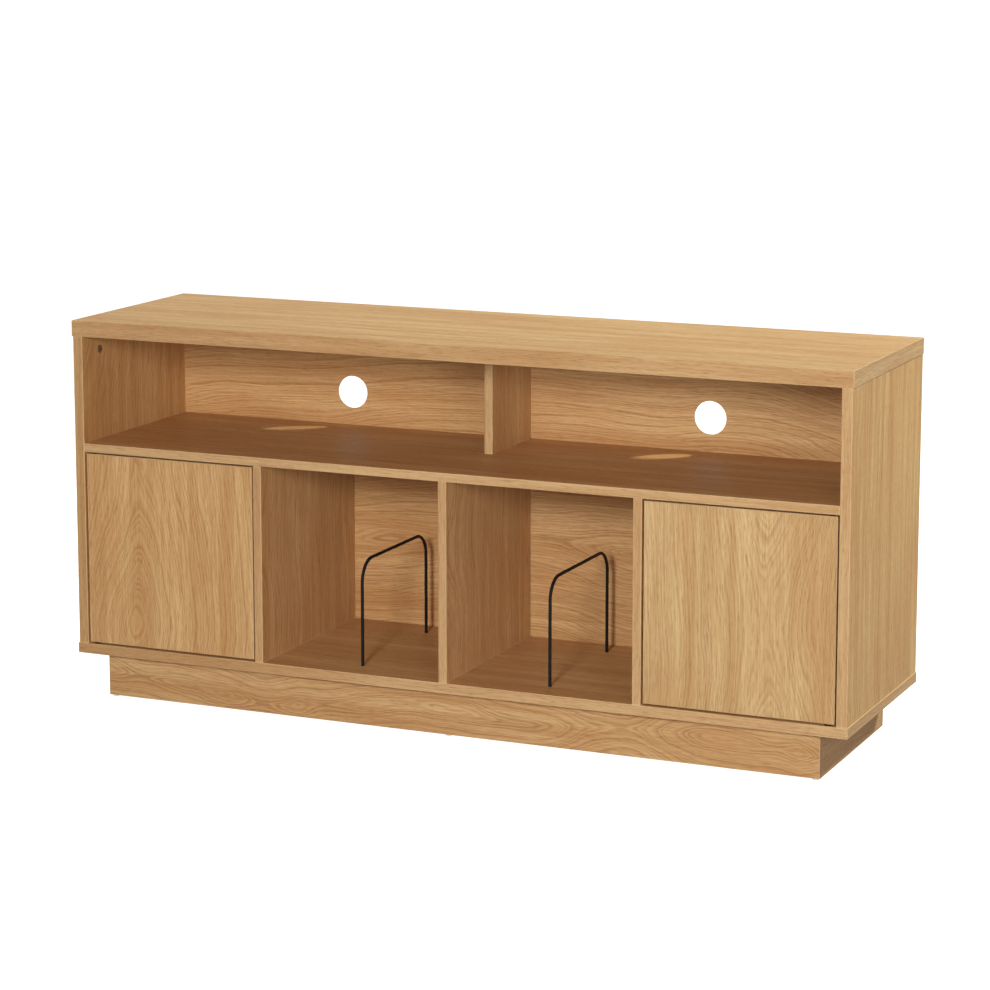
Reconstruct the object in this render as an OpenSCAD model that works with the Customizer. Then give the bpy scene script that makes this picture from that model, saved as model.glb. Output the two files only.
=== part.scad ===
// Low media cabinet with an open upper compartment, two record bays and two push-to-open doors.
// Origin: middle of the footprint on the floor. +X is the cabinet's right, -Y its front, +Z up.

/* [Carcass] */
// Width over the top and bottom panels
body_w = 1400; // [1360:10:1480]
// Depth over the top and bottom panels
body_d = 390; // [380:5:420]
// Thickness of the top panel
top_t = 28; // [25:1:32]
// Thickness of the bottom panel
bottom_t = 18; // [18:1:22]
// Thickness of each side panel
side_t = 18; // [18:1:20]
// Step from the ends of the top and bottom to the outer faces of the sides
end_step = 1.5; // [0.5:0.5:3]
// Step from the front of the top and bottom to the front edges of the uprights and shelf
front_step = 1; // [0.5:0.5:2]
// Small chamfer on every exposed board edge
edge_ease = 0.8; // [0.4:0.2:1.2]

/* [Compartments] */
// Clear height of the four lower bays
lower_bay_h = 340; // [335:5:360]
// Clear height of the open upper compartment
upper_bay_h = 186; // [170:2:220]
// Thickness of the full-width shelf
shelf_t = 15; // [15:1:18]
// Thickness of the dividers
divider_t = 15; // [15:1:18]
// Distance from the cabinet's front to the short upper divider
upper_divider_setback = 190; // [150:5:200]

/* [Back] */
// Thickness of the two back panels
back_t = 3; // [3:0.5:4]
// Distance from the cabinet's rear edge to the back panels
back_recess = 29.5; // [20:0.5:35]
// Depth of the grooves that hold the back panels
groove_depth = 6; // [4:0.5:8]
// Diameter of the two cable holes
cable_hole_d = 58; // [40:1:70]
// Distance of each cable hole from the cabinet's middle
cable_hole_x = 338.5; // [200:0.5:450]
// Height of the cable holes' centres above the shelf
cable_hole_rise = 59; // [45:1:90]

/* [Doors] */
// Thickness of each door
door_t = 15; // [15:1:18]
// Gap all round each inset door
door_gap = 3; // [2.6:0.2:4]
// Step from the front edges of the uprights to the faces of the doors
door_recess = 1.5; // [0:0.5:4]
// Distance of the pivot pins from the hinge edge of the door
pivot_inset = 12; // [11:1:20]
// Diameter of the pivot pins
pin_d = 6; // [5:0.5:6]

/* [Plinth] */
// Height of the plinth boards
plinth_h = 75; // [60:5:90]
// Thickness of the plinth boards
plinth_t = 15; // [15:1:18]
// Step from the ends of the bottom panel to the plinth
plinth_end_recess = 50; // [40:1:80]
// Step from the front of the bottom panel to the plinth
plinth_front_recess = 19; // [15:1:40]
// Step from the rear of the bottom panel to the plinth
plinth_rear_recess = 23; // [15:1:40]
// Diameter of the nail-on glides under the plinth
glide_d = 12; // [10:1:14]
// Height of the glides
glide_h = 3; // [2:0.5:5]

/* [Record dividers] */
// Diameter of the bent wire
wire_d = 5.5; // [4:0.5:6]
// Distance from the cabinet's front to the front leg
wire_setback = 52; // [40:1:80]
// Distance between the two legs
wire_span = 255; // [200:1:280]
// Height of the top run above the floor of the bay
wire_rise = 181; // [120:1:220]
// Bend radius at the wire's centre line
wire_bend_r = 38; // [15:1:45]

/* [Hidden] */
$fn = 48;

// Levels, from the floor up
plinth_z = glide_h;
bottom_z = plinth_z + plinth_h;
bay_z = bottom_z + bottom_t;
shelf_z = bay_z + lower_bay_h;
upper_z = shelf_z + shelf_t;
top_z = upper_z + upper_bay_h;
body_h = top_z + top_t;

// Planes, from front to rear
front_y = -body_d / 2;
rear_y = body_d / 2;
upright_front = front_y + front_step;
door_front = upright_front + door_recess;
door_back = door_front + door_t;
back_face = rear_y - back_recess - back_t;
upper_divider_front = front_y + upper_divider_setback;

// Planes, from the middle outwards
side_outer = body_w / 2 - end_step;
side_inner = side_outer - side_t;
side_mid = side_inner + side_t / 2;
bay_w = (2 * side_inner - 3 * divider_t) / 4;
divider_pitch = bay_w + divider_t;
divider_x = [-divider_pitch, 0, divider_pitch];
upright_x = [-side_mid, -divider_pitch, 0, divider_pitch, side_mid];
record_bay_x = divider_pitch / 2;

// Plinth frame
plinth_end = body_w / 2 - plinth_end_recess;
plinth_front = front_y + plinth_front_recess;
plinth_rear = rear_y - plinth_rear_recess;
plinth_rows = [plinth_front + plinth_t / 2, plinth_rear - plinth_t / 2];
plinth_cross_x = [plinth_t / 2 - plinth_end, 0, plinth_end - plinth_t / 2];
glide_x = plinth_end - 9;
glide_foot_d = glide_d - 3;
glide_nail_d = 2.5;
glide_nail_l = 14;

// Bores are this much larger all round than what is fixed in them
bore_slack = 0.05;

// Back panels and the strip that joins them behind the middle dividers
groove_slack = 0.2;
panel_lip = groove_depth - 0.5;
strip_web = 2;
strip_flange_t = 1.2;
strip_front_w = divider_t - 1;
strip_rear_w = 24;
cable_hole_z = upper_z + cable_hole_rise;

// Dowels
dowel_d = 8;
dowel_l = 30;
dowel_ease = 1;
dowel_rows = [-103, 73];
upper_dowel_rows = [25, 125];
base_dowel_sink = 12;
thin_dowel_sink = 10;
plinth_dowel_x = [-560, -240, 240, 560];

// Eccentric cam locks and their bolts
cam_d = 15;
cam_bore_depth = 12.5;
cam_h = 12.2;
cam_drop = 29;
cam_rows = [-135, 105];
cam_slot = [8, 1.6, 1.8];
cam_mouth_d = 8;
bolt_d = 5;
bolt_head_d = 7;
bolt_head_l = 2.5;
bolt_stub_d = 6;
bolt_stub_l = 11;

// Screws through the bottom panel into the uprights
base_screw_rows = [-60, 30, 140];
base_screw_l = 50;
base_screw_d = 7;
base_screw_core_d = 5;
base_screw_head_d = 10;
base_screw_head_h = 3;
base_screw_socket = [4.6, 2.2];

// Angle brackets between the plinth and the bottom panel
bracket_x = [-450, -150, 150, 450];
bracket_leg = 30;
bracket_w = 25;
bracket_t = 2;
bracket_screw_reach = 17;
small_screw_d = 4;
small_screw_l = 12;
small_screw_head_d = 8;
small_screw_head_h = 2;
small_screw_slot = [5, 1.2, 1];

// Doors, their pivot pins and the bushes that turn on them
door_w = bay_w - 2 * door_gap;
door_z = bay_z + door_gap;
door_top = shelf_z - door_gap;
door_hinge_x = -side_inner + door_gap;
door_free_x = door_hinge_x + door_w;
pivot_x = door_hinge_x + pivot_inset;
pivot_y = door_front + door_t / 2;
pin_running_gap = 0.05;
pin_l = 16;
pin_root_d = 8;
pin_root_l = 10;
pin_collar_d = 13;
pin_collar_h = door_gap - 0.4;
bush_d = 10;
bush_l = 20;
bush_bore_l = 18;

// Push latch under the shelf at the free edge of each door
latch_inset = 25;
latch_x = door_free_x - latch_inset;
latch_drop = 12;
latch_z = shelf_z - latch_drop;
latch_front = door_back + 6.5;
latch_body = [16, 50, 20];
latch_flange_w = 38;
latch_flange_t = 3;
latch_screw_x = 13.5;
latch_screw_rows = [10, 40];
plunger_d = 8;
plunger_l = 36;
plunger_bore_l = 40;
plunger_gap = 0.3;
strike_d = 14;
strike_t = 1.5;
plunger_tip = door_back + strike_t + plunger_gap;

oak = [0.80, 0.64, 0.46];
oak_dark = [0.70, 0.52, 0.35];
beech = [0.87, 0.75, 0.58];
steel = [0.72, 0.73, 0.75];
bronzed_steel = [0.44, 0.31, 0.21];
zinc = [0.62, 0.62, 0.60];
black = [0.07, 0.07, 0.07];
grey_plastic = [0.55, 0.55, 0.56];
white_plastic = [0.92, 0.92, 0.90];

// ---- Boards ----

// A box given by its low and high limits along each axis
module block(x, y, z) {
    translate([x[0], y[0], z[0]]) cube([x[1] - x[0], y[1] - y[0], z[1] - z[0]]);
}

// Section of a board: depth runs from its front edge, whose two corners are eased
function front_eased(depth, thick, e = edge_ease) =
    [[0, e], [e, 0], [depth, 0], [depth, thick], [e, thick], [0, thick - e]];

// Section of a board with all four corners eased
function all_eased(depth, thick, e = edge_ease) =
    [[0, e], [e, 0], [depth - e, 0], [depth, e],
     [depth, thick - e], [depth - e, thick], [e, thick], [0, thick - e]];

// Runs a (y, z) section along X
module along_x(x, y0, z0, section) {
    translate([x[0], y0, z0]) rotate([90, 0, 90]) linear_extrude(x[1] - x[0]) polygon(section);
}

// Runs an (x, y) section up Z
module along_z(x0, y0, z, section) {
    translate([x0, y0, z[0]]) linear_extrude(z[1] - z[0]) polygon(section);
}

// An upright board whose front edge is eased
module upright(x, y, z) {
    flipped = [for (p = front_eased(y[1] - y[0], x[1] - x[0])) [p[1], p[0]]];
    along_z(x[0], y[0], z, flipped);
}

// A flat board with every edge of its outline eased
module flat_board(x, y, z) {
    intersection() {
        along_x(x, y[0], z[0], all_eased(y[1] - y[0], z[1] - z[0]));
        translate([x[0], y[1], z[0]])
            rotate([90, 0, 0])
                linear_extrude(y[1] - y[0])
                    polygon(all_eased(x[1] - x[0], z[1] - z[0]));
    }
}

// Draws its children at the left end and mirrored at the right end
module both_ends() {
    children();
    mirror([1, 0, 0]) children();
}

// ---- Places of the fittings ----

module at_base_dowels() {
    for (x = upright_x, y = dowel_rows) translate([x, y, bay_z - base_dowel_sink]) children();
}

module at_side_top_dowels() {
    for (x = [-side_mid, side_mid], y = dowel_rows)
        translate([x, y, top_z - dowel_l / 2]) children();
}

module at_divider_top_dowels() {
    for (x = divider_x, y = dowel_rows)
        translate([x, y, shelf_z + thin_dowel_sink - dowel_l]) children();
}

module at_shelf_end_dowels() {
    both_ends()
        for (y = dowel_rows)
            translate([-side_inner - base_dowel_sink, y, shelf_z + shelf_t / 2])
                rotate([0, 90, 0]) children();
}

module at_upper_divider_dowels() {
    for (y = upper_dowel_rows) {
        translate([0, y, upper_z - thin_dowel_sink]) children();
        translate([0, y, top_z + thin_dowel_sink - dowel_l]) children();
    }
}

module at_plinth_dowels() {
    for (x = plinth_dowel_x, y = plinth_rows)
        translate([x, y, bottom_z + thin_dowel_sink - dowel_l]) children();
}

module at_plinth_end_dowels() {
    for (x = plinth_cross_x) {
        translate([x, plinth_front + plinth_t - thin_dowel_sink, plinth_z + plinth_h / 2])
            rotate([-90, 0, 0]) children();
        translate([x, plinth_rear - plinth_t + thin_dowel_sink, plinth_z + plinth_h / 2])
            rotate([90, 0, 0]) children();
    }
}

// Cam frame: the cam sinks along local +Z, its bolt runs along local +X at half the board's thickness
module at_top_cams() {
    both_ends()
        for (y = cam_rows)
            translate([-side_inner, y, top_z - cam_drop]) rotate([0, -90, 0]) children();
}

module at_shelf_cams() {
    both_ends()
        for (y = cam_rows)
            translate([cam_drop - side_inner, y, shelf_z]) rotate([0, 0, 180]) children();
}

module at_base_screws() {
    for (x = upright_x, y = base_screw_rows) translate([x, y, bottom_z]) children();
}

// Bracket frame: local +Y runs under the bottom panel away from the plinth board, local -Z down the board
module at_brackets() {
    for (x = bracket_x) {
        translate([x, plinth_front + plinth_t, bottom_z]) children();
        translate([x, plinth_rear - plinth_t, bottom_z]) mirror([0, 1, 0]) children();
    }
}

// Screw frame: the head's seat is at local z = 0 and the screw points along local +Z
module at_bracket_screws() {
    at_brackets() {
        translate([0, bracket_screw_reach, -bracket_t]) children();
        translate([0, bracket_t, -bracket_screw_reach]) rotate([90, 0, 0]) children();
    }
}

module at_latch_screws() {
    both_ends()
        for (side = [-1, 1], y = latch_screw_rows)
            translate([latch_x + side * latch_screw_x, latch_front + y, shelf_z - latch_flange_t])
                children();
}

module at_glides() {
    for (x = [-glide_x, 0, glide_x], y = plinth_rows) translate([x, y, 0]) children();
}

// The two legs of one record divider, standing at x
module at_wire_legs(x) {
    for (y = [wire_setback, wire_setback + wire_span])
        translate([x, front_y + y, bay_z - base_dowel_sink]) children();
}

// ---- Fittings and the holes they sit in ----

module dowel() {
    r = dowel_d / 2;
    rotate_extrude()
        polygon([[0, 0], [r - dowel_ease, 0], [r, dowel_ease],
                 [r, dowel_l - dowel_ease], [r - dowel_ease, dowel_l], [0, dowel_l]]);
}

module dowel_hole() {
    cylinder(d = dowel_d + 2 * bore_slack, h = dowel_l);
}

module cam(board_t) {
    difference() {
        cylinder(d = cam_d - 2 * bore_slack, h = cam_h);
        translate([0, 0, board_t / 2]) rotate([0, 90, 0]) cylinder(d = cam_mouth_d, h = cam_d);
        for (turn = [0, 90])
            rotate([0, 0, turn])
                translate([-cam_slot[0] / 2, -cam_slot[1] / 2, -1])
                    cube([cam_slot[0], cam_slot[1], cam_slot[2] + 1]);
    }
}

module cam_holes(board_t) {
    translate([0, 0, -1]) cylinder(d = cam_d, h = cam_bore_depth + 1);
    translate([0, 0, board_t / 2]) rotate([0, 90, 0]) cylinder(d = cam_mouth_d, h = cam_drop + 1);
}

module cam_bolt(board_t) {
    translate([0, 0, board_t / 2])
        rotate([0, 90, 0]) {
            cylinder(d = bolt_head_d, h = bolt_head_l);
            cylinder(d = bolt_d, h = cam_drop);
            translate([0, 0, cam_drop]) cylinder(d = bolt_stub_d, h = bolt_stub_l);
        }
}

module cam_bolt_hole(board_t) {
    translate([cam_drop, 0, board_t / 2])
        rotate([0, 90, 0]) cylinder(d = bolt_stub_d + 2 * bore_slack, h = bolt_stub_l);
}

module base_screw() {
    difference() {
        union() {
            cylinder(d1 = base_screw_head_d, d2 = base_screw_d, h = base_screw_head_h);
            cylinder(d = base_screw_d, h = bottom_t);
            cylinder(d = base_screw_core_d, h = base_screw_l);
        }
        translate([0, 0, -1]) cylinder(d = base_screw_socket[0], h = base_screw_socket[1] + 1, $fn = 6);
    }
}

module base_screw_hole() {
    wide = 2 * bore_slack;
    cylinder(d1 = base_screw_head_d + wide, d2 = base_screw_d + wide, h = base_screw_head_h);
    cylinder(d = base_screw_d + wide, h = bottom_t);
    cylinder(d = base_screw_core_d + wide, h = base_screw_l);
}

module small_screw() {
    difference() {
        union() {
            translate([0, 0, -small_screw_head_h])
                cylinder(d1 = small_screw_head_d - 2, d2 = small_screw_head_d, h = small_screw_head_h);
            cylinder(d = small_screw_d, h = small_screw_l);
        }
        for (turn = [0, 90])
            rotate([0, 0, turn])
                translate([-small_screw_slot[0] / 2, -small_screw_slot[1] / 2, -small_screw_head_h - 1])
                    cube([small_screw_slot[0], small_screw_slot[1], small_screw_slot[2] + 1]);
    }
}

module small_screw_hole() {
    translate([0, 0, -1]) cylinder(d = small_screw_d + 2 * bore_slack, h = small_screw_l + 1);
}

// Groove round the inside of the carcass that the back panels sit in
module back_grooves() {
    reach = side_inner + groove_depth;
    block([-reach, reach],
          [back_face, back_face + back_t + groove_slack],
          [bay_z - groove_depth, top_z + groove_depth]);
}

// ---- Carcass ----

module top_panel() {
    color(oak)
        difference() {
            flat_board([-body_w / 2, body_w / 2], [front_y, rear_y], [top_z, body_h]);
            back_grooves();
            at_side_top_dowels() dowel_hole();
            at_upper_divider_dowels() dowel_hole();
            at_top_cams() cam_bolt_hole(side_t);
        }
}

module bottom_panel() {
    color(oak)
        difference() {
            flat_board([-body_w / 2, body_w / 2], [front_y, rear_y], [bottom_z, bay_z]);
            back_grooves();
            at_base_dowels() dowel_hole();
            at_plinth_dowels() dowel_hole();
            at_base_screws() base_screw_hole();
            at_bracket_screws() small_screw_hole();
            both_ends() at_wire_legs(-record_bay_x) wire_hole();
            both_ends() translate([pivot_x, pivot_y, bay_z - pin_root_l]) pin_root_hole();
        }
}

module side_board() {
    difference() {
        upright([-side_outer, -side_inner], [upright_front, rear_y], [bay_z, top_z]);
        back_grooves();
        at_base_dowels() dowel_hole();
        at_side_top_dowels() dowel_hole();
        at_shelf_end_dowels() dowel_hole();
        at_top_cams() cam_holes(side_t);
        at_shelf_cams() cam_bolt_hole(shelf_t);
        at_base_screws() base_screw_hole();
    }
}

module side_left() {
    color(oak) side_board();
}

module side_right() {
    color(oak) mirror([1, 0, 0]) side_board();
}

module shelf() {
    color(oak_dark)
        difference() {
            along_x([-side_inner, side_inner], upright_front, shelf_z,
                    front_eased(back_face - upright_front, shelf_t));
            back_strip_notch();
            at_divider_top_dowels() dowel_hole();
            at_upper_divider_dowels() dowel_hole();
            at_shelf_end_dowels() dowel_hole();
            at_shelf_cams() cam_holes(shelf_t);
            at_latch_screws() small_screw_hole();
            both_ends() translate([pivot_x, pivot_y, shelf_z]) pin_root_hole();
        }
}

// Room behind the middle dividers for the front flange of the joining strip
module back_strip_notch() {
    block([-divider_t / 2, divider_t / 2], [back_face - strip_flange_t, back_face + 1], [bay_z, top_z]);
}

module upper_divider() {
    color(oak_dark)
        difference() {
            upright([-divider_t / 2, divider_t / 2], [upper_divider_front, back_face], [upper_z, top_z]);
            back_strip_notch();
            at_upper_divider_dowels() dowel_hole();
        }
}

module lower_divider(x) {
    difference() {
        upright([x - divider_t / 2, x + divider_t / 2], [upright_front, back_face], [bay_z, shelf_z]);
        back_strip_notch();
        at_base_dowels() dowel_hole();
        at_divider_top_dowels() dowel_hole();
        at_base_screws() base_screw_hole();
    }
}

module divider_left() {
    color(oak) lower_divider(divider_x[0]);
}

module divider_centre() {
    color(oak) lower_divider(divider_x[1]);
}

module divider_right() {
    color(oak) lower_divider(divider_x[2]);
}

// ---- Back ----

module back_panel() {
    difference() {
        block([-side_inner - panel_lip, -strip_web / 2],
              [back_face, back_face + back_t],
              [bay_z - panel_lip, top_z + panel_lip]);
        translate([-cable_hole_x, back_face - 1, cable_hole_z])
            rotate([-90, 0, 0]) cylinder(d = cable_hole_d, h = back_t + 2, $fn = 96);
    }
}

module back_left() {
    color(oak_dark) back_panel();
}

module back_right() {
    color(oak_dark) mirror([1, 0, 0]) back_panel();
}

// H-section strip that holds the meeting edges of the back panels
module back_strip() {
    front = back_face - strip_flange_t;
    rear = back_face + back_t + strip_flange_t;
    color(black)
        union() {
            block([-strip_web / 2, strip_web / 2], [front, rear], [bay_z, top_z]);
            block([-strip_front_w / 2, strip_front_w / 2], [front, back_face], [bay_z, top_z]);
            block([-strip_rear_w / 2, strip_rear_w / 2], [back_face + back_t, rear], [bay_z, top_z]);
        }
}

// ---- Plinth ----

module plinth_long_board(y) {
    difference() {
        block([-plinth_end, plinth_end], [y - plinth_t / 2, y + plinth_t / 2], [plinth_z, bottom_z]);
        at_plinth_dowels() dowel_hole();
        at_plinth_end_dowels() dowel_hole();
        at_bracket_screws() small_screw_hole();
        at_glides() glide_hole();
    }
}

module plinth_front() {
    color(oak) plinth_long_board(plinth_rows[0]);
}

module plinth_back() {
    color(oak) plinth_long_board(plinth_rows[1]);
}

// A plinth board that runs from front to rear between the long ones, at x
module plinth_cross_board(x) {
    difference() {
        block([x - plinth_t / 2, x + plinth_t / 2],
              [plinth_front + plinth_t, plinth_rear - plinth_t],
              [plinth_z, bottom_z]);
        at_plinth_end_dowels() dowel_hole();
    }
}

module plinth_left() {
    color(oak) plinth_cross_board(plinth_cross_x[0]);
}

module plinth_rail() {
    color(oak) plinth_cross_board(plinth_cross_x[1]);
}

module plinth_right() {
    color(oak) plinth_cross_board(plinth_cross_x[2]);
}

module bracket() {
    difference() {
        union() {
            block([-bracket_w / 2, bracket_w / 2], [0, bracket_leg], [-bracket_t, 0]);
            block([-bracket_w / 2, bracket_w / 2], [0, bracket_t], [-bracket_leg, 0]);
        }
        translate([0, bracket_screw_reach, -bracket_t]) small_screw_hole();
        translate([0, bracket_t, -bracket_screw_reach]) rotate([90, 0, 0]) small_screw_hole();
    }
}

module plinth_brackets() {
    color(zinc) at_brackets() bracket();
}

module bracket_screws() {
    color(steel) at_bracket_screws() small_screw();
}

// Domed plastic disc on a nail
module glide() {
    r = glide_d / 2;
    foot_r = glide_foot_d / 2;
    cylinder(r1 = foot_r, r2 = r, h = glide_h / 2);
    translate([0, 0, glide_h / 2]) cylinder(r = r, h = glide_h / 2);
    cylinder(d = glide_nail_d, h = glide_nail_l);
}

module glide_hole() {
    cylinder(d = glide_nail_d + 2 * bore_slack, h = glide_nail_l);
}

module glides() {
    color(white_plastic) at_glides() glide();
}

// ---- Record dividers ----

module wire_hole() {
    cylinder(d = wire_d + 2 * bore_slack, h = base_dowel_sink + 1);
}

// Bent wire with two legs let into the bottom panel, standing at x
module record_wire(x) {
    leg_h = base_dowel_sink + wire_rise - wire_bend_r;
    top_run = wire_span - 2 * wire_bend_r;
    at_wire_legs(x) cylinder(d = wire_d, h = leg_h);
    translate([x, front_y + wire_setback + wire_bend_r, bay_z + wire_rise])
        rotate([-90, 0, 0]) cylinder(d = wire_d, h = top_run);
    translate([x, front_y + wire_setback + wire_bend_r, bay_z + wire_rise - wire_bend_r])
        rotate([0, 0, -90]) wire_bend();
    translate([x, front_y + wire_setback + wire_span - wire_bend_r, bay_z + wire_rise - wire_bend_r])
        rotate([0, 0, 90]) wire_bend();
}

// Quarter bend from +X, where it is vertical, up to +Z, where it is level
module wire_bend() {
    rotate([90, 0, 0])
        rotate_extrude(angle = 90)
            translate([wire_bend_r, 0]) circle(d = wire_d);
}

module record_wire_left() {
    color(black) record_wire(-record_bay_x);
}

module record_wire_right() {
    color(black) record_wire(record_bay_x);
}

// ---- Hidden fittings ----

module dowels() {
    color(beech) {
        at_base_dowels() dowel();
        at_side_top_dowels() dowel();
        at_divider_top_dowels() dowel();
        at_shelf_end_dowels() dowel();
        at_upper_divider_dowels() dowel();
        at_plinth_dowels() dowel();
        at_plinth_end_dowels() dowel();
    }
}

module cam_locks() {
    color(zinc) {
        at_top_cams() cam(side_t);
        at_shelf_cams() cam(shelf_t);
    }
}

module cam_bolts() {
    color(steel) {
        at_top_cams() cam_bolt(side_t);
        at_shelf_cams() cam_bolt(shelf_t);
    }
}

module base_screws() {
    color(steel) at_base_screws() base_screw();
}

// ---- Door pivots ----

// Stands on the bottom panel: root in the panel, collar in the door gap, pin up into the bush
module pivot_pin() {
    translate([0, 0, -pin_root_l]) cylinder(d = pin_root_d, h = pin_root_l);
    cylinder(d = pin_collar_d, h = pin_collar_h);
    cylinder(d = pin_d, h = pin_collar_h + pin_l);
}

module pin_root_hole() {
    cylinder(d = pin_root_d + 2 * bore_slack, h = pin_root_l);
}

module pivot_pins() {
    translate([pivot_x, pivot_y, bay_z]) pivot_pin();
    translate([pivot_x, pivot_y, shelf_z]) mirror([0, 0, 1]) pivot_pin();
}

module pivot_pins_left() {
    color(bronzed_steel) pivot_pins();
}

module pivot_pins_right() {
    color(bronzed_steel) mirror([1, 0, 0]) pivot_pins();
}

// Plastic bush set into the end grain of the door, open downwards
module door_bush() {
    difference() {
        cylinder(d = bush_d, h = bush_l);
        translate([0, 0, -1]) cylinder(d = pin_d + 2 * pin_running_gap, h = bush_bore_l + 1);
    }
}

module bush_hole() {
    translate([0, 0, -1]) cylinder(d = bush_d + 2 * bore_slack, h = bush_l + 1);
}

module at_door_bushes() {
    translate([pivot_x, pivot_y, door_z]) children();
    translate([pivot_x, pivot_y, door_top]) mirror([0, 0, 1]) children();
}

module door_bushes_left() {
    color(grey_plastic) at_door_bushes() door_bush();
}

module door_bushes_right() {
    color(grey_plastic) mirror([1, 0, 0]) at_door_bushes() door_bush();
}

// ---- Doors ----

module door() {
    height = door_top - door_z;
    outline = [for (p = front_eased(door_t, door_w)) [p[1], p[0]]];
    difference() {
        intersection() {
            along_z(door_hinge_x, door_front, [door_z, door_top], outline);
            along_x([door_hinge_x, door_free_x], door_front, door_z, front_eased(door_t, height));
        }
        at_door_bushes() bush_hole();
        at_strike() small_screw_hole();
    }
}

module door_left() {
    color(oak) door();
}

module door_right() {
    color(oak) mirror([1, 0, 0]) door();
}

// ---- Push latches ----

// Screw frame on the door's back, pointing into the door
module at_strike() {
    translate([latch_x, door_back + strike_t, latch_z]) rotate([90, 0, 0]) children();
}

// Steel plate on the door that the plunger's magnet holds, with its screw
module strike() {
    difference() {
        at_strike() union() {
            cylinder(d = strike_d, h = strike_t);
            cylinder(d = small_screw_d, h = small_screw_l);
        }
        at_strike()
            translate([-small_screw_slot[0] / 2, -small_screw_slot[1] / 2, -1])
                cube([small_screw_slot[0], small_screw_slot[1], small_screw_slot[2] + 1]);
    }
}

module strike_left() {
    color(steel) strike();
}

module strike_right() {
    color(steel) mirror([1, 0, 0]) strike();
}

module latch() {
    rear = latch_front + latch_body[1];
    difference() {
        union() {
            block([latch_x - latch_body[0] / 2, latch_x + latch_body[0] / 2],
                  [latch_front, rear],
                  [shelf_z - latch_body[2], shelf_z]);
            block([latch_x - latch_flange_w / 2, latch_x + latch_flange_w / 2],
                  [latch_front, rear],
                  [shelf_z - latch_flange_t, shelf_z]);
        }
        translate([latch_x, latch_front - 1, latch_z])
            rotate([-90, 0, 0])
                cylinder(d = plunger_d + 2 * pin_running_gap, h = plunger_bore_l + 1);
        at_latch_screws() small_screw_hole();
    }
}

module latch_left() {
    color(grey_plastic) latch();
}

module latch_right() {
    color(grey_plastic) mirror([1, 0, 0]) latch();
}

module latch_screws() {
    color(steel) at_latch_screws() small_screw();
}

// Spring plunger with a narrower magnet at its tip
module plunger() {
    tip_l = 2;
    translate([latch_x, plunger_tip, latch_z])
        rotate([-90, 0, 0]) {
            cylinder(d1 = plunger_d - 2, d2 = plunger_d, h = tip_l);
            translate([0, 0, tip_l]) cylinder(d = plunger_d, h = plunger_l - tip_l);
        }
}

module plunger_left() {
    color(black) plunger();
}

module plunger_right() {
    color(black) mirror([1, 0, 0]) plunger();
}

top_panel();
bottom_panel();
side_left();
side_right();
shelf();
upper_divider();
divider_left();
divider_centre();
divider_right();
back_left();
back_right();
back_strip();
plinth_front();
plinth_back();
plinth_left();
plinth_right();
plinth_rail();
plinth_brackets();
bracket_screws();
glides();
record_wire_left();
record_wire_right();
dowels();
cam_locks();
cam_bolts();
base_screws();
pivot_pins_left();
pivot_pins_right();
latch_left();
latch_right();
latch_screws();
plunger_left();
plunger_right();
door_left();
door_right();
door_bushes_left();
door_bushes_right();
strike_left();
strike_right();
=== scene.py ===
"""Looks for the media cabinet: oak laminate, powder-coated wire, metal and plastic fittings, and the studio.

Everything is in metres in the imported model's frame. +X is the cabinet's right, -Y its front, +Z up.
"""

import math

import bpy
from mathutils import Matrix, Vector


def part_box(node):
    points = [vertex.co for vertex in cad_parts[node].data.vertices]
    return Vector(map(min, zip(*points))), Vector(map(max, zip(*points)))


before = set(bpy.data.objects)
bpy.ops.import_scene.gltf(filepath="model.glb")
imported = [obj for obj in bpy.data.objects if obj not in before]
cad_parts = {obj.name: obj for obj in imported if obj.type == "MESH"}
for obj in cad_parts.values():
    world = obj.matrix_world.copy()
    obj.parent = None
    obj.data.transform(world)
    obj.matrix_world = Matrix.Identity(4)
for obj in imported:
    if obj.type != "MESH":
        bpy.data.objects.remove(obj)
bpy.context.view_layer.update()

AXES = "XYZ"
WHITE = (1.0, 1.0, 1.0, 1.0)


# ---- Node graphs ----

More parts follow.
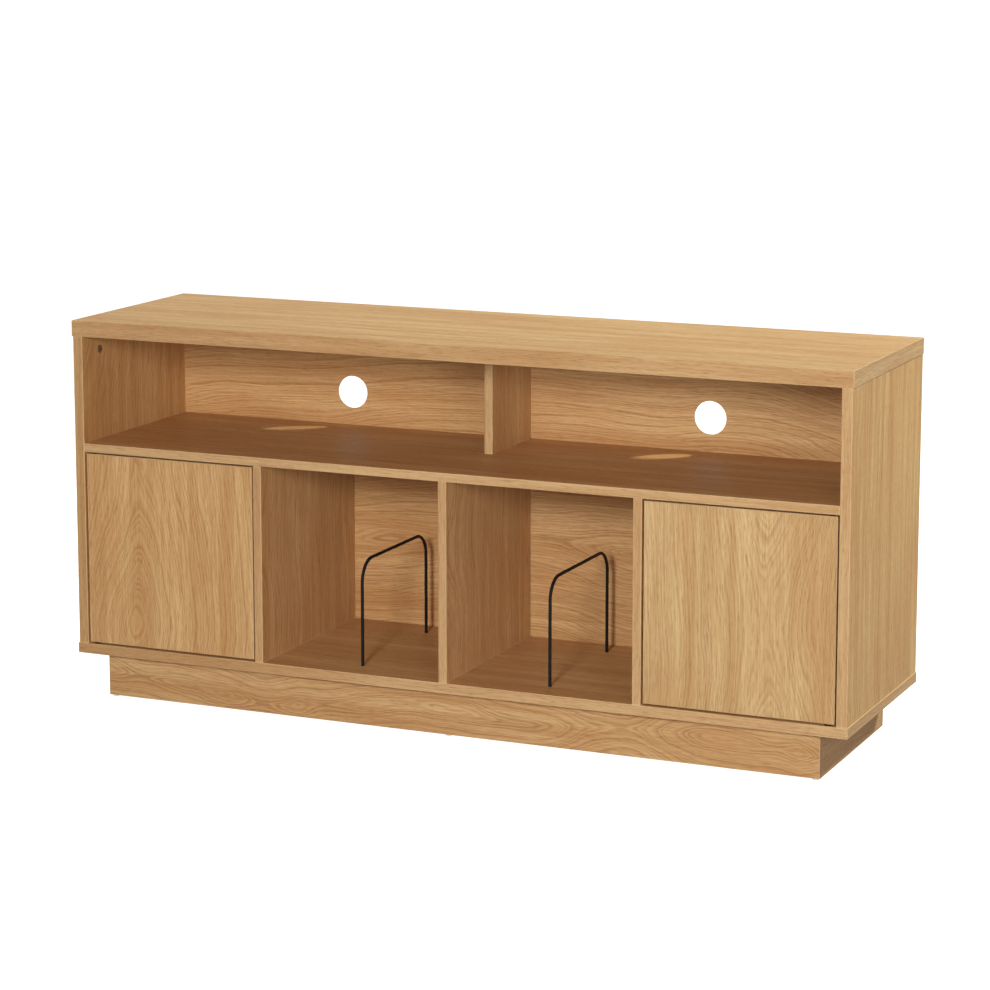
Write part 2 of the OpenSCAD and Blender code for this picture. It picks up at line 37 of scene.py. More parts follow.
class Graph:
    """Adds nodes to one node tree. Each method returns the socket that carries its result."""

    def __init__(self, tree):
        self.tree = tree

    def node(self, kind, **settings):
        made = self.tree.nodes.new(kind)
        for name, value in settings.items():
            setattr(made, name, value)
        return made

    def put(self, socket, value):
        """Links a socket to the value if it is a socket, or else sets it."""
        if isinstance(value, bpy.types.NodeSocket):
            self.tree.links.new(value, socket)
        else:
            socket.default_value = value

    def math(self, operation, first, second=0.0):
        made = self.node("ShaderNodeMath", operation=operation)
        self.put(made.inputs[0], first)
        self.put(made.inputs[1], second)
        return made.outputs[0]

    def add(self, first, second):
        return self.math("ADD", first, second)

    def times(self, first, second):
        return self.math("MULTIPLY", first, second)

    def times_add(self, value, factor, offset):
        """value * factor + offset."""
        made = self.node("ShaderNodeMath", operation="MULTIPLY_ADD")
        self.put(made.inputs[0], value)
        self.put(made.inputs[1], factor)
        self.put(made.inputs[2], offset)
        return made.outputs[0]

    def span(self, value, low, high, to_low=0.0, to_high=1.0):
        """Maps low..high smoothly to to_low..to_high, and stops there on both sides."""
        made = self.node("ShaderNodeMapRange", interpolation_type="SMOOTHSTEP")
        for socket, number in zip(made.inputs, (value, low, high, to_low, to_high)):
            self.put(socket, number)
        return made.outputs[0]

    def join(self, x, y, z):
        made = self.node("ShaderNodeCombineXYZ")
        for socket, value in zip(made.inputs, (x, y, z)):
            self.put(socket, value)
        return made.outputs[0]

    def split(self, vector):
        made = self.node("ShaderNodeSeparateXYZ")
        self.put(made.inputs[0], vector)
        return list(made.outputs)

    def choose(self, switch, first, second):
        """first where switch is 0, second where it is 1, for vectors."""
        made = self.node("ShaderNodeMix", data_type="VECTOR")
        self.put(made.inputs["Factor"], switch)
        self.put(made.inputs[4], first)
        self.put(made.inputs[5], second)
        return made.outputs[1]

    def stretched(self, vector, scale, offset=0.0):
        """The vector times a scale for each axis, moved by an offset along all of them."""
        made = self.node("ShaderNodeVectorMath", operation="MULTIPLY_ADD")
        self.put(made.inputs[0], vector)
        self.put(made.inputs[1], scale)
        self.put(made.inputs[2], self.join(offset, offset, offset))
        return made.outputs[0]

    def noise(self, vector, detail=0.0):
        made = self.node("ShaderNodeTexNoise", noise_dimensions="3D")
        self.put(made.inputs["Vector"], vector)
        self.put(made.inputs["Scale"], 1.0)
        self.put(made.inputs["Detail"], detail)
        return made.outputs["Fac"]

    def noise_along(self, value, detail=0.0):
        """Noise that depends on one number alone."""
        made = self.node("ShaderNodeTexNoise", noise_dimensions="1D")
        self.put(made.inputs["W"], value)
        self.put(made.inputs["Scale"], 1.0)
        self.put(made.inputs["Detail"], detail)
        return made.outputs["Fac"]

    def mix(self, factor, first, second, blend="MIX"):
        made = self.node("ShaderNodeMix", data_type="RGBA", blend_type=blend)
        self.put(made.inputs["Factor"], factor)
        self.put(made.inputs[6], first)
        self.put(made.inputs[7], second)
        return made.outputs[2]

    def profile(self, value, stops):
        """A smooth curve through (position, height) stops, both from 0 to 1."""
        made = self.node("ShaderNodeValToRGB")
        ramp = made.color_ramp
        ramp.interpolation = "B_SPLINE"
        while len(ramp.elements) < len(stops):
            ramp.elements.new(1.0)
        for element, (position, height) in zip(ramp.elements, stops):
            element.position = position
            element.color = (height, height, height, 1.0)
        self.put(made.inputs[0], value)
        return made.outputs[0]

    def bump(self, height, distance, strength):
        made = self.node("ShaderNodeBump")
        self.put(made.inputs["Height"], height)
        self.put(made.inputs["Distance"], distance)
        self.put(made.inputs["Strength"], strength)
        return made.outputs["Normal"]


def colour(red, green, blue):
    """A linear colour from display values of 0 to 255."""
    channels = [value / 255 for value in (red, green, blue)]
    linear = [c / 12.92 if c <= 0.04045 else ((c + 0.055) / 1.055) ** 2.4 for c in channels]
    return (*linear, 1.0)


def new_group(name, inputs, outputs):
    """A node group with these inputs and outputs: its graph, and its sockets to read from and to fill."""
    tree = bpy.data.node_groups.new(name, "ShaderNodeTree")
    for label, kind in inputs:
        tree.interface.new_socket(label, in_out="INPUT", socket_type=kind)
    for label, kind in outputs:
        tree.interface.new_socket(label, in_out="OUTPUT", socket_type=kind)
    graph = Graph(tree)
    entry = graph.node("NodeGroupInput")
    leave = graph.node("NodeGroupOutput")
    return graph, entry.outputs, leave.inputs


def new_material(name):
    """A material with one Principled shader, and its graph and shader node."""
    material = bpy.data.materials.new(name)
    material.use_nodes = True
    graph = Graph(material.node_tree)
    shader = material.node_tree.nodes["Principled BSDF"]
    return material, graph, shader


# ---- Oak ----

# Each noise: its frequencies along the grain, across it and into the board, in cycles a metre, then the
# step that moves it from seed to seed, and its detail
WOBBLE = ((5.0, 24.0, 24.0), 3.1, 0.0)
RIPPLE = ((17.0, 85.0, 85.0), 5.3, 0.0)
JITTER = ((55.0, 330.0, 330.0), 1.7, 0.0)
BAND = ((1.6, 38.0, 38.0), 2.3, 2.0)
BLOTCH = ((4.5, 12.0, 12.0), 4.7, 1.0)
STREAK = ((7.0, 330.0, 330.0), 6.1, 1.0)
FIBRE = ((34.0, 1100.0, 1100.0), 8.3, 0.0)
PORE = ((80.0, 1400.0, 1400.0), 7.9, 0.0)
FLECK = ((40.0, 420.0, 420.0), 9.7, 0.0)
CHIPS = (260.0, 260.0, 260.0)
CHIP_DETAIL = 4.0

# How far the first three noises push the growth rings, in metres
WOBBLE_REACH = 0.016
RIPPLE_REACH = 0.0038
JITTER_REACH = 0.0011

# Noises of one number: cycles a metre, and the step from seed to seed. The first two run along the board
# and move the heart line sideways and in depth. The others run out from it and vary the rings' width and
# their strength.
SIDE_DRIFT = (2.6, 13.7)
DEPTH_DRIFT = (3.4, 29.3)
DEPTH_DRIFT_START = 5.0
WIDTH_DRIFT = (75.0, 3.0)
STRENGTH_DRIFT = (95.0, 71.0)

# How many rings' widths the width noise moves a ring
UNEVENNESS = 1.6

# 2 would make the rings round. A lower number draws their arches out to points on the face.
RING_ROUNDNESS = 1.5

# One growth ring: dark porous early wood that starts sharply and fades into late wood
RING_PROFILE = [(0.0, 0.4), (0.15, 1.0), (0.42, 0.62), (0.7, 0.15), (0.9, 0.0), (1.0, 0.4)]

# How much of the rings and of the red blotches a banded edge or end shows
BANDING_RINGS = 0.35
BANDING_RED = 0.4

# How far from the face's own cut the strips on the edges and on the ends were cut, in metres
EDGE_CUT = 0.4
END_CUT = 0.7

# A surface is a face where its normal's share along the thin axis is above the first, and an end where its
# share along the grain is above the second.
FACE_TURN = 0.8
END_TURN = 0.6

# The strips' thickness, and the half width of the line's dark core and of its fading sides, in metres
BANDING_THICKNESS = 0.0011
SEAM_CORE = 0.00006
SEAM_SIDES = 0.00022
SEAM_DARKNESS = 0.45

# How far from a corner the pale rim, partly wear and partly a painted highlight along the edges, is full and
# where it ends, and how ragged it is, in metres
WEAR_AND_HIGHLIGHT_FULL = 0.0004
WEAR_AND_HIGHLIGHT_END = 0.0016
WEAR_AND_HIGHLIGHT_RAGGED = 0.003
WEAR_AND_HIGHLIGHT_STRENGTH = 0.75

# How strongly each part tints the board, at most
RED_TINT = 0.45
STREAK_TINT = 0.24
FLECK_TINT = 0.22
PORE_TINT = 0.4
# Pale rim at the corners: partly wear, partly a painted highlight along the edges
WEAR_AND_HIGHLIGHT_TINT = 0.5

# Roughness of the plain board, and what each part adds to it. The last is for the worn rim at the corners,
# whose pale colour is partly a painted highlight, and for bare places.
BOARD_ROUGHNESS = 0.44
RING_ROUGHNESS = 0.07
PORE_ROUGHNESS = 0.14
STREAK_ROUGHNESS = 0.16
BARE_ROUGHNESS = 0.08

# Height of each part, as a share of the relief, and the relief in metres
STREAK_HEIGHT = 0.5
RING_HEIGHT = -0.3
PORE_HEIGHT = -1.0
OAK_RELIEF = 0.00012
RELIEF_STRENGTH = 0.6
OAK_SPECULAR = 0.22

OAK_LIGHT = colour(207, 171, 117)
OAK_DEEP = colour(190, 149, 97)
OAK_RED = colour(187, 138, 87)
OAK_RING = colour(146, 98, 56)
OAK_PORE = colour(112, 72, 40)
# Colour of the pale corner rim: partly wear, partly a painted highlight along the edges
OAK_WEAR_AND_HIGHLIGHT = colour(219, 186, 140)
BANDING_SHADE = (0.86, 0.86, 0.96, 1.0)
FIBREBOARD = colour(170, 132, 92)
FIBREBOARD_CHIP = colour(153, 117, 80)

SHAPE = ("Seed", "Heart", "Lean", "Bow", "Swell", "Wander", "Ring")
FIGURE_PARTS = ("Rings", "Band", "Blotch", "Streak", "Pores", "Flecks")


def make_figure_group():
    """Oak figure at a point given along the grain, across it and into the board, in metres.

    The growth rings are round a heart line that runs under the face and wanders along the board, so a
    board that is cut near its heart shows cathedral arches and one that is cut far from it straight lines.
    """
    inputs = [("Point", "NodeSocketVector")]
    inputs += [(name, "NodeSocketFloat") for name in SHAPE]
    outputs = [(name, "NodeSocketFloat") for name in FIGURE_PARTS]
    g, given, result = new_group("oak_figure", inputs, outputs)
    along, across, deep = g.split(given["Point"])
    seed = given["Seed"]

    def centred(value):
        return g.math("SUBTRACT", value, 0.5)

    def seeded_noise(kind):
        scale, step, detail = kind
        return g.noise(g.stretched(given["Point"], scale, g.times_add(seed, step, step)), detail)

    def drift(kind, value, detail=0.0, start=0.0):
        frequency, step = kind
        return g.noise_along(g.times_add(value, frequency, g.times_add(seed, step, start)), detail)

    side_drift = centred(drift(SIDE_DRIFT, along))
    depth_drift = centred(drift(DEPTH_DRIFT, along, 1.0, DEPTH_DRIFT_START))
    from_centre = g.times_add(side_drift, given["Wander"], across)
    under_face = g.times_add(along, given["Lean"], g.add(given["Heart"], deep))
    under_face = g.times_add(g.times(along, along), given["Bow"], under_face)
    under_face = g.times_add(depth_drift, given["Swell"], under_face)
    parts = [g.math("POWER", g.math("ABSOLUTE", part), RING_ROUNDNESS) for part in (from_centre, under_face)]
    radius = g.math("POWER", g.add(*parts), 1.0 / RING_ROUNDNESS)
    radius = g.times_add(centred(seeded_noise(WOBBLE)), WOBBLE_REACH, radius)
    radius = g.times_add(centred(seeded_noise(RIPPLE)), RIPPLE_REACH, radius)
    radius = g.times_add(centred(seeded_noise(JITTER)), JITTER_REACH, radius)

    count = g.times_add(drift(WIDTH_DRIFT, radius), UNEVENNESS, g.math("DIVIDE", radius, given["Ring"]))
    ring = g.profile(g.math("FRACT", count), RING_PROFILE)
    strength = drift(STRENGTH_DRIFT, radius)
    streak = g.add(g.times(seeded_noise(STREAK), 0.6), g.times(seeded_noise(FIBRE), 0.4))
    rings = g.times(ring, g.span(strength, 0.3, 0.66, 0.35, 1.0))
    rings = g.times(rings, g.span(streak, 0.3, 0.65, 0.65, 1.0))

    pores = g.times(g.span(seeded_noise(PORE), 0.6, 0.7), g.times_add(ring, 0.8, 0.2))
    g.put(result["Rings"], rings)
    g.put(result["Band"], seeded_noise(BAND))
    g.put(result["Blotch"], seeded_noise(BLOTCH))
    g.put(result["Streak"], streak)
    g.put(result["Pores"], pores)
    g.put(result["Flecks"], g.span(seeded_noise(FLECK), 0.6, 0.72))
    return g.tree


def make_board_group(figure):
    """Turns a board's own position into oak: colour, roughness and surface height.

    Faces show the figure. Narrow edges and ends are banded with straight-grained strips. Corners are
    rubbed slightly pale, partly wear and partly a painted highlight along the edges, and a hairline shows
    where each strip meets the face. Each face's colour is multiplied by its painted light and shade. Where
    Bare rear is 1, only the front face is oak, and the rest is plain fibreboard.
    """
    inputs = [(name, "NodeSocketVector") for name in ("Point", "Facing", "Half size")]
    inputs += [(name, "NodeSocketFloat") for name in SHAPE]
    inputs += [("Figure offset", "NodeSocketVector"), ("Depth of colour", "NodeSocketFloat")]
    inputs += [("Bare rear", "NodeSocketFloat"), ("Painted light and shade", "NodeSocketColor")]
    outputs = [("Colour", "NodeSocketColor")]
    outputs += [(name, "NodeSocketFloat") for name in ("Roughness", "Height")]
    g, given, result = new_group("oak_board", inputs, outputs)
    along, across, deep = g.split(given["Point"])
    outward = g.split(given["Facing"])
    facing = [g.math("ABSOLUTE", part) for part in outward]
    on_face = g.math("GREATER_THAN", facing[2], FACE_TURN)
    on_edge = g.math("SUBTRACT", 1.0, on_face)
    on_end = g.math("GREATER_THAN", facing[0], END_TURN)

    move = g.node("ShaderNodeVectorMath", operation="ADD")
    g.put(move.inputs[0], given["Point"])
    g.put(move.inputs[1], given["Figure offset"])
    point = g.choose(on_edge, move.outputs[0], g.join(along, g.add(deep, EDGE_CUT), across))
    point = g.choose(on_end, point, g.join(across, g.add(deep, END_CUT), along))

    inner = g.node("ShaderNodeGroup", node_tree=figure)
    g.put(inner.inputs["Point"], point)
    for name in SHAPE:
        g.put(inner.inputs[name], given[name])
    rings, band, blotch, streak, pores, flecks = inner.outputs
    rings = g.times(rings, g.times_add(on_edge, BANDING_RINGS - 1.0, 1.0))

    gaps = [g.math("SUBTRACT", half, g.math("ABSOLUTE", place))
            for half, place in zip(g.split(given["Half size"]), (along, across, deep))]
    lower = g.math("MINIMUM", gaps[0], gaps[1])
    upper = g.math("MAXIMUM", gaps[0], gaps[1])
    to_edge = g.math("MAXIMUM", lower, g.math("MINIMUM", upper, gaps[2]))
    # Pale rim along the corners, partly wear and partly a painted highlight along the edges
    wear_and_highlight_reach = g.times_add(g.math("SUBTRACT", blotch, 0.5), WEAR_AND_HIGHLIGHT_RAGGED, to_edge)
    worn_and_highlit = g.span(wear_and_highlight_reach, WEAR_AND_HIGHLIGHT_FULL, WEAR_AND_HIGHLIGHT_END, WEAR_AND_HIGHLIGHT_STRENGTH, 0.0)
    from_seam = g.math("ABSOLUTE", g.math("SUBTRACT", to_edge, BANDING_THICKNESS))
    seam = g.times(g.span(from_seam, SEAM_CORE, SEAM_SIDES, SEAM_DARKNESS, 0.0), on_face)

    tone = g.mix(g.span(band, 0.3, 0.7), OAK_LIGHT, OAK_DEEP)
    redness = g.span(blotch, 0.42, 0.75, 0.0, RED_TINT)
    redness = g.times(redness, g.times_add(on_edge, BANDING_RED - 1.0, 1.0))
    tone = g.mix(redness, tone, OAK_RED)
    tone = g.mix(g.times(rings, given["Depth of colour"]), tone, OAK_RING)
    tone = g.mix(g.span(streak, 0.36, 0.64, 0.0, STREAK_TINT), tone, OAK_RING)
    tone = g.mix(g.times(flecks, FLECK_TINT), tone, OAK_RING)
    tone = g.mix(g.times(pores, PORE_TINT), tone, OAK_PORE)
    # Painted light and shade of each board multiplies the colour of its faces; banded edges and ends take
    # the strips' own tone instead.
    shade = g.mix(on_edge, given["Painted light and shade"], BANDING_SHADE)
    tone = g.mix(1.0, tone, shade, "MULTIPLY")
    # Painted highlight and wear: a pale rim along the corners
    tone = g.mix(g.times(worn_and_highlit, WEAR_AND_HIGHLIGHT_TINT), tone, OAK_WEAR_AND_HIGHLIGHT)
    tone = g.mix(seam, tone, OAK_PORE)
    bare = g.times(given["Bare rear"], g.math("GREATER_THAN", outward[2], -FACE_TURN))
    chips = g.noise(g.stretched(given["Point"], CHIPS), CHIP_DETAIL)
    tone = g.mix(bare, tone, g.mix(g.span(chips, 0.35, 0.65), FIBREBOARD, FIBREBOARD_CHIP))

    rough = g.times_add(rings, RING_ROUGHNESS, BOARD_ROUGHNESS)
    rough = g.times_add(pores, PORE_ROUGHNESS, rough)
    rough = g.times_add(g.math("SUBTRACT", streak, 0.5), STREAK_ROUGHNESS, rough)
    height = g.times_add(streak, STREAK_HEIGHT, g.times(g.add(pores, seam), PORE_HEIGHT))
    g.put(result["Colour"], tone)
    g.put(result["Roughness"], g.times_add(g.add(worn_and_highlit, bare), BARE_ROUGHNESS, rough))
    g.put(result["Height"], g.times_add(rings, RING_HEIGHT, height))
    return g.tree


FIGURE_GROUP = make_figure_group()
BOARD_GROUP = make_board_group(FIGURE_GROUP)

# How a board was cut: depth of the heart under the face, how that depth leans, bows and swells along the
# board, how far the heart wanders sideways, and the width of a growth ring. Lengths are in metres.
LEFT_DOOR = {"Heart": 0.0, "Lean": 0.50, "Bow": -0.65, "Swell": 0.01, "Wander": 0.03, "Ring": 0.0050}
RIGHT_DOOR = {"Heart": 0.08, "Lean": 0.0, "Bow": -1.0, "Swell": 0.01, "Wander": 0.03, "Ring": 0.0048}
BACK = {"Heart": 0.02, "Lean": 0.0, "Bow": 0.45, "Swell": 0.05, "Wander": 0.05, "Ring": 0.0049}
PLINTH = {"Heart": 0.02, "Lean": 0.02, "Bow": 0.0, "Swell": 0.11, "Wander": 0.05, "Ring": 0.0050}
STRAIGHT = {"Heart": 0.16, "Lean": 0.02, "Bow": 0.0, "Swell": 0.05, "Wander": 0.05, "Ring": 0.0050}

# Boards with oak on the front only
BARE_BEHIND = ("back_left", "back_right")


def board_axes(grain, thin):
    """Axis numbers of a board: along the grain, across it, and through its thickness."""
    along, deep = AXES.index(grain), AXES.index(thin)
    return along, 3 - along - deep, deep


def oak_material(name, grain, thin, figure, seed, offset, depth):
    """Oak for one board. offset moves the figure along the grain, across it and into the board."""
    material, g, shader = new_material("oak_" + name)
    low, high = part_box(name)
    axes = board_axes(grain, thin)
    centre = (low + high) / 2
    half = (high - low) / 2
    where = g.node("ShaderNodeTexCoord")
    place = g.split(where.outputs["Object"])
    facing = g.split(where.outputs["Normal"])
    board = g.node("ShaderNodeGroup", node_tree=BOARD_GROUP)
    g.put(board.inputs["Point"], g.join(*(g.math("SUBTRACT", place[i], centre[i]) for i in axes)))
    g.put(board.inputs["Facing"], g.join(*(facing[i] for i in axes)))
    board.inputs["Half size"].default_value = [half[i] for i in axes]
    board.inputs["Figure offset"].default_value = offset
    board.inputs["Seed"].default_value = seed
    board.inputs["Depth of colour"].default_value = depth
    board.inputs["Bare rear"].default_value = float(name in BARE_BEHIND)
    # This board's painted light and shade
    board.inputs["Painted light and shade"].default_value = PAINTED_LIGHT_AND_SHADE.get(name, WHITE)
    for label, value in figure.items():
        board.inputs[label].default_value = value
    g.put(shader.inputs["Base Color"], board.outputs["Colour"])
    g.put(shader.inputs["Roughness"], board.outputs["Roughness"])
    g.put(shader.inputs["Normal"], g.bump(board.outputs["Height"], OAK_RELIEF, RELIEF_STRENGTH))
    shader.inputs["Specular IOR Level"].default_value = OAK_SPECULAR
    return material


def finish_node(name, material):
    """Gives a CAD node one material in every slot."""
    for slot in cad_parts[name].material_slots:
        slot.material = material


# Painted light and shade: each board's colour is darkened, lightened or tinted to stand in for how light
# falls on it, warm and dark on the boards inside the cabinet, where shade falls, and pale and cool on the
# right door, where the sheen from the right lies. Each number is a factor on the board's colour.
PAINTED_LIGHT_AND_SHADE = {
    "shelf": (0.94, 0.78, 0.75, 1.0),
    "bottom_panel": (0.96, 0.87, 0.86, 1.0),
    "side_left": (0.98, 0.87, 0.80, 1.0),
    "upper_divider": (1.03, 0.95, 0.94, 1.0),
    "divider_left": (1.0, 0.91, 0.89, 1.0),
    "divider_centre": (1.03, 0.94, 0.93, 1.0),
    "divider_right": (1.03, 0.94, 0.93, 1.0),
    "back_left": (1.04, 0.97, 0.99, 1.0),
    "back_right": (1.01, 0.97, 1.03, 1.0),
    "plinth_front": (0.92, 0.91, 0.98, 1.0),
    "door_left": (0.97, 0.97, 1.03, 1.0),
    "door_right": (0.93, 1.0, 1.13, 1.0),
}

# Axis of the grain, axis through the thickness, cut, seed, figure offset and depth of colour of each board
BOARDS = {
    "top_panel": ("X", "Z", STRAIGHT, 1.0, (0.0, 0.28, 0.0), 0.40),
    "bottom_panel": ("X", "Z", STRAIGHT, 2.0, (0.0, 0.30, 0.0), 0.35),
    "shelf": ("X", "Z", STRAIGHT, 3.0, (0.0, 0.24, 0.0), 0.30),
    "side_left": ("Z", "X", STRAIGHT, 4.0, (0.0, 0.22, 0.0), 0.55),
    "side_right": ("Z", "X", STRAIGHT, 5.0, (0.0, 0.24, 0.0), 0.55),
    "upper_divider": ("Z", "X", STRAIGHT, 6.0, (0.0, 0.2, 0.0), 0.5),
    "divider_left": ("Z", "X", STRAIGHT, 7.0, (0.0, 0.25, 0.0), 0.55),
    "divider_centre": ("Z", "X", STRAIGHT, 8.0, (0.0, 0.2, 0.0), 0.55),
    "divider_right": ("Z", "X", STRAIGHT, 9.0, (0.0, 0.3, 0.0), 0.55),
    "back_left": ("X", "Y", BACK, 10.0, (-0.09, 0.117, 0.0), 0.74),
    "back_right": ("X", "Y", BACK, 11.0, (0.14, 0.10, 0.0), 0.74),
    "plinth_front": ("X", "Y", PLINTH, 12.0, (0.0, 0.0, 0.0), 0.75),
    "plinth_back": ("X", "Y", PLINTH, 13.0, (0.2, 0.0, 0.0), 0.75),
    "plinth_left": ("Y", "X", STRAIGHT, 14.0, (0.0, 0.2, 0.0), 0.6),
    "plinth_right": ("Y", "X", STRAIGHT, 15.0, (0.0, 0.2, 0.0), 0.6),
    "plinth_rail": ("Y", "X", STRAIGHT, 16.0, (0.0, 0.2, 0.0), 0.6),
    "door_left": ("Z", "Y", LEFT_DOOR, 17.0, (0.145, 0.07, 0.0), 0.58),
    "door_right": ("Z", "Y", RIGHT_DOOR, 18.0, (0.02, -0.047, 0.0), 0.49),
}


def finish_boards():
    for name, (grain, thin, figure, seed, offset, depth) in BOARDS.items():
        finish_node(name, oak_material(name, grain, thin, figure, seed, offset, depth))


# ---- Fittings ----

def object_point(g, scale):
    """Position on the piece, times a frequency in cycles a metre."""
    return g.stretched(g.node("ShaderNodeTexCoord").outputs["Object"], (scale, scale, scale))


def powder_coat():
    """Black powder coat on the bent wires: fine orange peel with slightly glossier high spots."""
    material, g, shader = new_material("black_powder_coat")
    peel = g.noise(object_point(g, 900.0), 2.0)
    cloud = g.noise(object_point(g, 40.0), 1.0)
    g.put(shader.inputs["Base Color"], g.mix(cloud, colour(20, 19, 18), colour(30, 28, 27)))
    g.put(shader.inputs["Roughness"], g.span(peel, 0.3, 0.7, 0.44, 0.6))
    shader.inputs["Specular IOR Level"].default_value = 0.25
    g.put(shader.inputs["Normal"], g.bump(peel, 0.00008, 0.7))
    return material


def plated_metal(name, bright, dull, rough_low, rough_high, grain):
    """Plated or die-cast metal: cloudy tarnish and a fine grain in its gloss."""
    material, g, shader = new_material(name)
    cloud = g.noise(object_point(g, 120.0), 3.0)
    fine = g.noise(object_point(g, grain), 2.0)
    g.put(shader.inputs["Base Color"], g.mix(g.span(cloud, 0.35, 0.65), bright, dull))
    shader.inputs["Metallic"].default_value = 1.0
    g.put(shader.inputs["Roughness"], g.span(fine, 0.3, 0.7, rough_low, rough_high))
    g.put(shader.inputs["Normal"], g.bump(fine, 0.00004, 0.5))
    return material


def moulded_plastic(name, body, shade, rough):
    """Moulded plastic with a fine spark-eroded texture and faint flow marks."""
    material, g, shader = new_material(name)
    flow = g.noise(object_point(g, 60.0), 2.0)
    spark = g.noise(object_point(g, 2400.0), 2.0)
    g.put(shader.inputs["Base Color"], g.mix(g.span(flow, 0.35, 0.65), body, shade))
    g.put(shader.inputs["Roughness"], g.span(spark, 0.3, 0.7, rough - 0.06, rough + 0.08))
    g.put(shader.inputs["Normal"], g.bump(spark, 0.00003, 0.5))
    return material


def beech():
    """Pale beech dowels with short brown flecks."""
    material, g, shader = new_material("beech_dowel")
    fleck = g.noise(object_point(g, 1500.0), 1.0)
    cloud = g.noise(object_point(g, 90.0), 2.0)
    base = g.mix(cloud, colour(226, 196, 156), colour(209, 172, 129))
    g.put(shader.inputs["Base Color"], g.mix(g.span(fleck, 0.6, 0.7, 0.0, 0.5), base, colour(150, 104, 66)))
    g.put(shader.inputs["Roughness"], g.span(fleck, 0.3, 0.7, 0.5, 0.65))
    g.put(shader.inputs["Normal"], g.bump(fleck, 0.00005, 0.5))
    return material


def finish_fittings():
    steel = plated_metal("bright_steel", colour(205, 207, 209), colour(178, 180, 184), 0.26, 0.42, 1800.0)
    zinc = plated_metal("cast_zinc", colour(188, 188, 184), colour(158, 158, 155), 0.38, 0.56, 1100.0)
    grey = moulded_plastic("grey_plastic", colour(146, 147, 150), colour(136, 137, 141), 0.42)
    black = moulded_plastic("black_plastic", colour(30, 30, 31), colour(22, 22, 23), 0.4)
    white = moulded_plastic("white_plastic", colour(232, 231, 226), colour(222, 220, 212), 0.38)
    bronzed = plated_metal("bronzed_steel", colour(128, 86, 58), colour(104, 68, 45), 0.5, 0.64, 1800.0)
    fitted = {
        powder_coat(): ["record_wire_left", "record_wire_right"],
        steel: ["bracket_screws", "cam_bolts", "base_screws", "latch_screws", "strike_left", "strike_right"],
        bronzed: ["pivot_pins_left", "pivot_pins_right"],
        zinc: ["cam_locks", "plinth_brackets"],
        grey: ["latch_left", "latch_right", "door_bushes_left", "door_bushes_right"],
        black: ["back_strip", "plunger_left", "plunger_right"],
        white: ["glides"],
        beech(): ["dowels"],
    }
    for material, names in fitted.items():
        for name in names:
            finish_node(name, material)


# ---- Studio ----

# Place in metres, angles in degrees, lens in millimetres, and shift as a share of the frame
CAMERA_PLACE = (2.072, -4.699, 1.399)
CAMERA_PITCH = 9.39
CAMERA_YAW = 23.69
CAMERA_LENS = 111.78
CAMERA_SHIFT = -0.1

# How far the floor reaches on each side, and how brightly it glows
FLOOR_REACH = 60.0
FLOOR_GLOW = 0.96

# Brightness and tint of the fill, and the grey that faces mirror
AMBIENT = 0.23
FILL_TINT = (1.0, 0.64, 0.44)
SHEEN = 0.5

PAPER_DARK = colour(178, 178, 178)
PAPER_LIGHT = colour(182, 182, 182)

# Place, target, width and height, power in watts, and tint of each softbox
MIDDLE = (0.0, 0.0, 0.35)
LIGHTS = {
    "key": ((0.95, -4.9, 1.8), MIDDLE, (0.8, 1.2), 218.0, (0.92, 0.97, 1.0)),
    "side": ((2.3, -2.4, 0.7), MIDDLE, (1.6, 1.2), 38.0, (0.85, 0.94, 1.0)),
    "top": ((-0.2, 0.9, 3.4), MIDDLE, (1.8, 1.8), 24.0, (0.86, 0.93, 1.0)),
    "left": ((-3.0, 0.5, 1.2), MIDDLE, (1.6, 1.2), 34.0, (1.0, 1.0, 1.0)),
    "rear": ((2.3, 2.6, 2.5), (0.0, 0.0, 0.6), (0.36, 0.36), 220.0, (0.88, 1.0, 0.98)),
}


def add_camera():
    data = bpy.data.cameras.new("camera")
    data.lens = CAMERA_LENS
    data.shift_y = CAMERA_SHIFT
    camera = bpy.data.objects.new("camera", data)
    camera.location = CAMERA_PLACE
    camera.rotation_euler = (math.radians(90 - CAMERA_PITCH), 0.0, math.radians(CAMERA_YAW))
    bpy.context.scene.collection.objects.link(camera)
    bpy.context.scene.camera = camera


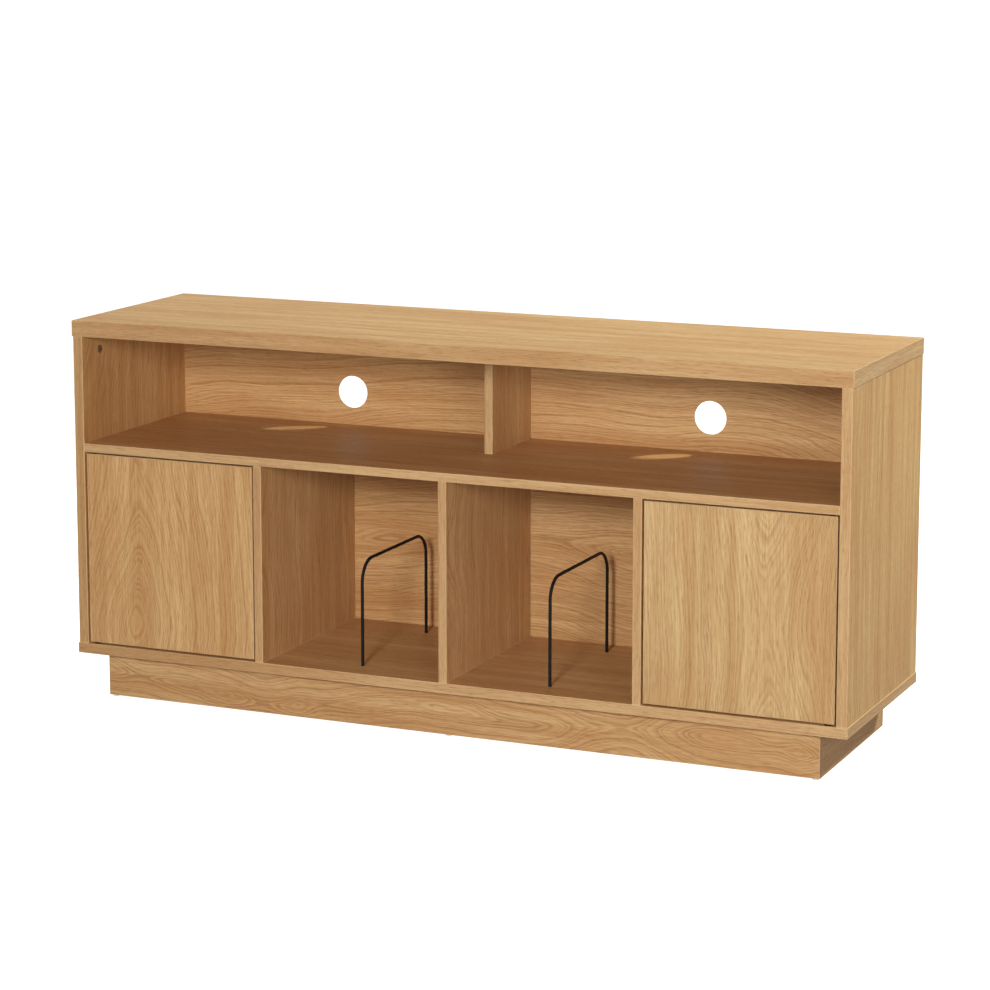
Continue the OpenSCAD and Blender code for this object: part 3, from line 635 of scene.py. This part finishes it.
def add_area_light(name, place, target, size, power, tint):
    """An oval softbox of a width and height, at place, that faces target.

    It isn't seen, and faces don't mirror it, so none of them burns out at a grazing angle.
    """
    data = bpy.data.lights.new(name, "AREA")
    data.shape = "ELLIPSE"
    data.size, data.size_y = size
    data.energy = power
    data.color = tint
    light = bpy.data.objects.new(name, data)
    light.location = place
    light.rotation_euler = (Vector(target) - Vector(place)).to_track_quat("-Z", "Y").to_euler()
    light.visible_camera = False
    light.visible_glossy = False
    bpy.context.scene.collection.objects.link(light)


def add_lights():
    for name, settings in LIGHTS.items():
        add_area_light(name, *settings)


def add_world():
    """White behind the object, grey in its reflections, and a dim warm fill on it."""
    world = bpy.data.worlds.new("studio")
    world.use_nodes = True
    g = Graph(world.node_tree)
    ray = g.node("ShaderNodeLightPath").outputs
    background = world.node_tree.nodes["Background"]
    fill = (*(AMBIENT * channel for channel in FILL_TINT), 1.0)
    around = g.mix(ray["Is Glossy Ray"], fill, (SHEEN, SHEEN, SHEEN, 1.0))
    g.put(background.inputs["Color"], g.mix(ray["Is Camera Ray"], around, WHITE))
    bpy.context.scene.world = world


def add_floor():
    """White paper under the object, lit from below as well, so that shadows on it stay pale."""
    mesh = bpy.data.meshes.new("studio_floor")
    r = FLOOR_REACH
    mesh.from_pydata([(-r, -r, 0.0), (r, -r, 0.0), (r, r, 0.0), (-r, r, 0.0)], [], [(0, 1, 2, 3)])
    floor = bpy.data.objects.new("studio_floor", mesh)
    bpy.context.scene.collection.objects.link(floor)
    material, g, shader = new_material("studio_paper")
    paper = g.noise(object_point(g, 2.0), 2.0)
    g.put(shader.inputs["Base Color"], g.mix(paper, PAPER_DARK, PAPER_LIGHT))
    shader.inputs["Roughness"].default_value = 0.9
    shader.inputs["Specular IOR Level"].default_value = 0.1
    shader.inputs["Emission Color"].default_value = WHITE
    shader.inputs["Emission Strength"].default_value = FLOOR_GLOW
    mesh.materials.append(material)
    floor.visible_diffuse = False
    floor.visible_glossy = False


add_camera()
finish_boards()
finish_fittings()
add_world()
add_lights()
add_floor()
bpy.context.scene.view_settings.view_transform = "Standard"
